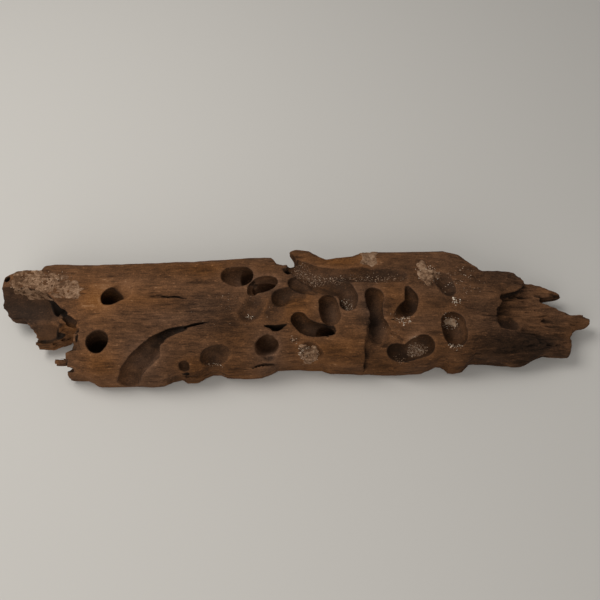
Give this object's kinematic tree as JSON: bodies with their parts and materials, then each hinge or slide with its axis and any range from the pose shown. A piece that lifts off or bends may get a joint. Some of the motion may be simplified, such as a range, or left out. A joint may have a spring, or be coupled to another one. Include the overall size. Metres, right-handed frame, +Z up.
{
  "type": "dragon wood",
  "caption": "Weathered driftwood slab riddled with smooth shipworm tunnels, pockets and grooves, with splintered ends, lying on its flat underside.",
  "frame": {"origin": "on the flat underside, below the middle of the outline's bounding box", "axes": "+X along the grain to the splintered tip, +Y to the hooked back edge, +Z up from the surface it lies on"},
  "size_m": [0.59, 0.131, 0.0579],
  "materials": {
    "weathered_wood": "dry, weathered and dark, with pale mineral crust"
  },
  "bodies": {
    "root": {"dragon_wood": "weathered_wood"}
  },
  "joints": []
}
